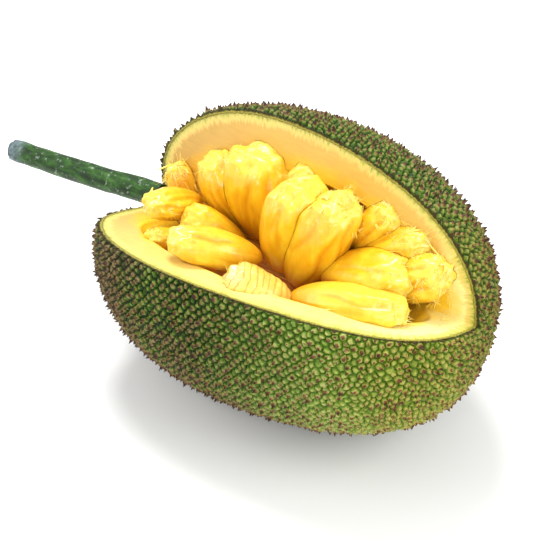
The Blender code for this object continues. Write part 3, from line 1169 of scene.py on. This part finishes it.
def rind_finish():
    made = Finish("jackfruit_rind", Roughness=0.62, Specular_IOR_Level=0.22)
    place = made.place()
    x, y, z = made.parts(place)
    tone = made.attribute("tone")
    ragged = made.times(made.spread(made.noise(place, 500.0, 2.0), 0.3, 0.7), 1.2)
    own = made.spread(tone, 0.0, 1.0, -0.5, 0.9)
    level = made.spread(made.plus(made.attribute("depth"), ragged, own), -3.0, 6.0)
    fresh, worn, lit_skin = skin_colours(made, level)
    patches = made.noise(place, 17.0, 4.0, 0.6)
    worn_share = wear(made, patches, x, z, tone)
    skin = made.blend(made.spread(worn_share, 0.46, 0.80), fresh, worn)
    # Painted light: lighter, brighter skin on the front, towards the blossom end, where it is unworn.
    front = made.spread(y, 0.05, -0.06)
    blossomward = made.spread(x, 0.02, 0.14)
    unworn = made.spread(worn_share, 0.85, 0.45)
    skin = made.blend(made.times(front, blossomward, unworn), skin, lit_skin)
    pressed = made.ramp(patches, (0.35, "#4C4420"), (0.60, "#6C6A30"))
    skin = made.blend(made.spread(z, 0.004, 0.001), skin, pressed)
    tanned = made.spread(x, 0.13, 0.18, 0.0, 0.45)
    skin = made.blend(tanned, skin, "#B49A4C", "OVERLAY")
    edge = made.spread(level, 0.28, 0.52)
    sliced = made.ramp(edge, (0.0, "#C6B656"), (0.4, "#9A9440"), (0.7, "#56501C"), (1.0, "#3A3414"))
    on_cut = made.spread(made.maths("ABSOLUTE", made.attribute("sunk"), 0.0), 1.0, 0.5)
    skin = made.blend(made.times(on_cut, made.spread(level, 0.24, 0.32)), skin, sliced)
    speckle = made.noise(place, 420.0, 2.0)
    skin = made.blend(0.4, skin, made.ramp(speckle, (0.3, "#606060"), (0.7, "#FFFFFF")), "MULTIPLY")
    made.bump(made.noise(place, 700.0, 3.0), 0.5, 0.0008)
    return made.base(skin)


dress(rind, rind_finish())

# %% [markdown]
# The flesh has a thin green edge with streaks that point inwards, a body of pale orange, and a
# deeper orange wherever bulbs were pulled out of it, painted darker the deeper it lies as painted
# shade. Its level faces are painted lighter and its steep walls darker, as painted light and shade.
# The streaks read the place on the skin above, so they keep their colour all the way in and always
# point away from the skin.

# %% The flesh's finish
def cut_face_colour(made, place, x, facing_up):
    """Painted light and shade: pale where the knife left a level face, darker and more orange on the
    steep wall, palest in a painted pool of light in the corner.
    """
    soft = made.noise(place, 30.0, 4.0)
    wall = made.blend(soft, "#DFB352", "#EBC367")
    lit_floor_face = made.blend(soft, "#FADF6C", "#FCEE98")
    stemward = made.spread(x, 0.03, -0.12)
    lit_floor_face = made.blend(stemward, lit_floor_face, "#DDB45D")
    wall = made.blend(stemward, wall, "#CCA450")
    # Painted light and shade: level faces paler as lit, steep walls darker and more orange as shaded.
    lit_level_face = made.spread(facing_up, 0.3, 0.8)
    lit_corner_from = made.spread(lit_level_face, 0.0, 1.0, 0.158, 0.125)
    cut_face = made.blend(lit_level_face, wall, lit_floor_face)
    # Painted light: a pale pool in the corner at the blossom end.
    return made.blend(made.spread(x, lit_corner_from, 0.178), cut_face, "#FDF3A6")


def hollow_colour(made, x, y, blossomward):
    """Orange that deepens inwards, partly painted shade, in strands that run down the wall, painted
    light gold at the blossom end.
    """
    sunk = made.attribute("sunk")
    inward = made.spread(sunk, 0.0, 40.0)
    # Partly painted shade: the orange darkens the deeper the flesh lies below the cuts.
    deep = made.ramp(inward, (0.0, "#FACA34"), (0.10, "#F8C634"), (0.35, "#F6B828"), (1.0, "#D08818"))
    downward = {0: made.times(sunk, 0.55), 1: made.times(x, 16.0), 2: made.times(y, 16.0)}
    strands = made.noise(made.add("CombineXYZ", downward).outputs["Vector"], 1.0, 4.0)
    streaked = made.ramp(strands, (0.32, "#D89C38"), (0.46, "#F8C860"), (0.66, "#FFF4B8"))
    deep = made.blend(0.5, deep, streaked, "OVERLAY")
    # Painted light: the pocket at the blossom end, under the bulbs, is painted light gold.
    return made.blend(made.times(blossomward, 0.85), deep, "#FFD838")


def near_hollow(made, place, facing_up, blossomward):
    """1 in the hollow, 0 on the cut faces, and an uneven edge between them."""
    uneven = made.spread(made.noise(place, 45.0, 4.0), 0.3, 0.7, -0.05, 0.05)
    rim_place = made.plus(made.attribute("hollow"), uneven)
    full = made.spread(blossomward, 0.0, 1.0, 1.00, 1.06)
    reach = made.spread(blossomward, 0.0, 1.0, 1.22, 1.13)
    near_wall = made.spread(rim_place, full, reach, 1.0, 0.0)
    near_floor = made.spread(rim_place, 0.97, 1.06, 1.0, 0.0)
    lying = made.spread(facing_up, 0.5, 0.9)
    return made.add("Mix", {0: lying, 2: near_wall, 3: near_floor}, data_type="FLOAT").outputs[0]


def with_green_rim(made, meat):
    """The flesh turns green just under the skin, in streaks that point inwards."""
    streak = made.noise(made.attribute("skin_place", "Vector"), 380.0, 4.0, 0.7)
    streak_length = made.spread(streak, 0.3, 0.7, 0.0, 8.0)
    edge = made.spread(made.plus(made.attribute("depth"), streak_length), -7.0, 3.0)
    rim = made.ramp(edge, (0.0, "#F1CC70"), (0.45, "#EAD274"), (0.75, "#CBC660"), (1.0, "#969E42"))
    return made.blend(made.spread(edge, 0.0, 0.35), meat, rim)


def flesh_finish():
    juicy = {"Subsurface_Weight": 0.15, "Subsurface_Scale": 0.006, "Subsurface_Radius": (1, 0.45, 0.12)}
    made = Finish("jackfruit_flesh", Roughness=0.42, **juicy)
    place = made.place()
    x, y, _ = made.parts(place)
    _, _, facing_up = made.parts(made.place("Normal"))
    blossomward = made.spread(x, 0.07, 0.13)
    cut_face = cut_face_colour(made, place, x, facing_up)
    deep = hollow_colour(made, x, y, blossomward)
    meat = made.blend(near_hollow(made, place, facing_up, blossomward), cut_face, deep)
    meat = with_green_rim(made, meat)
    fibre = made.noise(place, (60.0, 400.0, 400.0), 3.0)
    meat = made.blend(0.25, meat, made.ramp(fibre, (0.3, "#C8C8C8"), (0.7, "#FFFFFF")), "MULTIPLY")
    made.bump(made.noise(place, 260.0, 4.0), 0.4, 0.0006)
    return made.base(meat)


dress(flesh, flesh_finish())

# %% [markdown]
# A ripe bulb is waxy and golden, light at its crown, painted darker in its creases as painted shade,
# wet enough to shine, and light sinks a few millimetres into it. Long, faint veins run from crown to
# root.

# %% The bulbs' finish
def bulb_finish(name, pale, gold, deep, crown, banded):
    juicy = {"Subsurface_Weight": 0.25, "Subsurface_Scale": 0.008, "Subsurface_Radius": (1, 0.5, 0.1)}
    made = Finish(name, Roughness=0.30, Coat_Weight=0.25, Coat_Roughness=0.15, **juicy)
    place = made.place()
    dip = made.attribute("dip")
    along = made.attribute("along")
    lemon = made.attribute("lemon")
    cloud = made.noise(place, 40.0, 3.0)
    veins = made.noise(place, (180.0, 180.0, 40.0), 2.0)
    fresh = made.blend(lemon, pale, "#F4D044")
    body = made.blend(made.spread(veins, 0.35, 0.65), gold, fresh)
    body = made.blend(made.times(lemon, 0.6), body, fresh)
    body = made.blend(made.spread(cloud, 0.40, 0.75, 0.0, 0.6), body, deep)
    # Painted shade: darker in the creases, by how deep each crease is.
    body = made.blend(made.spread(dip, 0.15, 1.0, 0.0, 0.8), body, deep)
    crown_share = made.plus(along, made.times(cloud, 0.8))
    body = made.blend(made.spread(crown_share, 0.95, 1.45, 0.0, 0.75), body, crown)
    torn = made.noise(place, (300.0, 300.0, 170.0), 4.0, 0.65)
    patches = made.spread(made.noise(place, 55.0, 2.0), 0.40, 0.62)
    crownward = made.spread(along, 0.45, 0.85)
    flecks = made.times(made.spread(torn, 0.50, 0.62), crownward, patches)
    body = made.blend(made.times(flecks, 0.8), body, "#FCEE9C")
    if banded:
        bend = made.times(made.noise(place, 60.0, 3.0), 9.0)
        wave = made.maths("SINE", made.plus(made.times(along, 34.0), bend), 0.0)
        body = made.blend(made.spread(wave, 0.55, 1.0, 0.0, 0.55), body, "#B87A24")
    body = made.blend(made.spread(along, -0.2, -0.9, 0.0, 0.7), body, deep)
    made.bump(made.plus(veins, made.noise(place, 120.0, 3.0), flecks), 0.30, 0.0010)
    return made.base(body)


golden = bulb_finish("bulb_flesh", "#F2CA24", "#ECB814", "#DC960A", "#F4D650", False)
fibrous = bulb_finish("rag_flesh", "#F4DC7C", "#EEC654", "#D89A34", "#F6E6A0", True)
for name, made in bulbs.items():
    dress(made, fibrous if name == BANDED_RAG else golden)
    store(made, "lemon", [DETAILS[name][-1]] * len(made.data.vertices))

# %% [markdown]
# Core, threads and stem are the woody or fibrous parts: matt, streaked along their length. The
# stem's bark is dark green with grey scars and stays wet, and its cut end has dried to grey.

# %% Core, thread and stem finishes
def core_finish():
    made = Finish("core_fibre", Roughness=0.6)
    place = made.place()
    cords = made.noise(place, (40.0, 420.0, 420.0), 3.0)
    body = made.ramp(cords, (0.30, "#8E5010"), (0.50, "#C88420"), (0.70, "#E8B858"))
    made.bump(cords, 0.6, 0.0012)
    return made.base(body)


def thread_finish():
    made = Finish("torn_thread", Roughness=0.45, Subsurface_Weight=0.2, Subsurface_Scale=0.003)
    cloud = made.noise(made.place(), 150.0, 2.0)
    return made.base(made.ramp(cloud, (0.3, "#F4CC40"), (0.5, "#FADC68"), (0.7, "#FDEDA0")))


def stem_finish():
    made = Finish("stem_bark", Roughness=0.5, Specular_IOR_Level=0.3, Coat_Weight=0.05)
    place = made.place()
    bark = made.noise(place, (70.0, 200.0, 200.0), 5.0)
    scars = made.noise(place, 240.0, 4.0)
    body = made.ramp(bark, (0.28, "#081804"), (0.45, "#163608"), (0.62, "#2C5812"), (0.8, "#55743C"))
    body = made.blend(made.spread(scars, 0.60, 0.72, 0.0, 0.7), body, "#98A596")
    dried = made.spread(made.parts(place)[0], -0.262, -0.276)
    body = made.blend(dried, body, made.ramp(scars, (0.3, "#2D3F42"), (0.7, "#76878A")))
    made.bump(made.plus(bark, scars), 0.6, 0.0012)
    return made.base(body)


dress(core, core_finish())
dress(threads, thread_finish())
dress(stem, stem_finish())

# %% Smooth shading, except where the knife left an edge
KNIFE_EDGE = math.radians(50)
for piece in pieces:
    piece.data.shade_smooth()
    piece.data.set_sharp_from_angle(angle=KNIFE_EDGE)

# %% Each finer piece stands for its plain one
STANDS_FOR = {"rind": rind, "flesh": flesh, "core": core, "stem": stem, **bulbs}
for node, piece in STANDS_FOR.items():
    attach(piece, "root")
    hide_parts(node)
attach(threads, "root")
print("pieces:", len(STANDS_FOR) + 1)

# %% [markdown]
# ## The studio
# The fruit lies on a pale floor under large, soft lamps: a key from above and behind that makes
# the wet bulbs shine, and fills from the front and both sides. A small or bare lamp would give
# hard shadows.

# %% Floor and light
def make_floor():
    bm = bmesh.new()
    bmesh.ops.create_grid(bm, x_segments=1, y_segments=1, size=6.0)
    bmesh.ops.translate(bm, vec=(0, 0, -0.0005), verts=bm.verts)
    floor = object_from(bm, "floor")
    made = Finish("pale_floor", Roughness=0.8)
    mottle = made.noise(made.place(), 3.0)
    dress(floor, made.base(made.ramp(mottle, (0.3, "#F4F4F3"), (0.7, "#F7F7F6"))))


LAMP_AIM = Vector((0, 0, 0.1))


def soft_lamp(name, place, size, power):
    """A round lamp this wide in metres and strong in watts, turned towards the fruit."""
    lamp = bpy.data.lights.new(name, "AREA")
    lamp.shape = "DISK"
    lamp.size = size
    lamp.energy = power
    made = bpy.data.objects.new(name, lamp)
    made.location = place
    made.rotation_mode = "QUATERNION"
    made.rotation_quaternion = (Vector(place) - LAMP_AIM).to_track_quat("Z", "Y")
    bpy.context.scene.collection.objects.link(made)


make_floor()
soft_lamp("key", (-0.4, 0.3, 1.6), 0.7, 22)
soft_lamp("front_fill", (0.9, -1.5, 1.0), 1.4, 14)
soft_lamp("left_fill", (-1.4, -0.8, 0.9), 1.2, 7)
soft_lamp("right_fill", (1.3, 0.1, 1.1), 0.9, 9)
world = bpy.data.worlds.new("studio")
world.use_nodes = True
backdrop = world.node_tree.nodes["Background"]
backdrop.inputs["Color"].default_value = (1, 1, 1, 1)
backdrop.inputs["Strength"].default_value = 0.75
bpy.context.scene.world = world
bpy.context.scene.view_settings.view_transform = "Standard"

# %% Camera
AZIMUTH = math.radians(36.5)
ELEVATION = math.radians(36)
DISTANCE = 1.19
AIM_RIGHT = -0.0139
AIM_UP = -0.0073
LENS = 96.33
SENSOR = 36


def make_camera():
    level = math.cos(ELEVATION)
    back = Vector((math.sin(AZIMUTH) * level, -math.cos(AZIMUTH) * level, math.sin(ELEVATION)))
    right = Vector((math.cos(AZIMUTH), math.sin(AZIMUTH), 0))
    up = back.cross(right)
    lens = bpy.data.cameras.new("camera")
    lens.lens = LENS
    lens.sensor_width = SENSOR
    made = bpy.data.objects.new("camera", lens)
    made.location = BODY_CENTRE + right * AIM_RIGHT + up * AIM_UP + back * DISTANCE
    made.rotation_mode = "QUATERNION"
    made.rotation_quaternion = Matrix((right, up, back)).transposed().to_quaternion()
    bpy.context.scene.collection.objects.link(made)
    bpy.context.scene.camera = made


make_camera()

# %% Update the scene
bpy.context.view_layer.update()
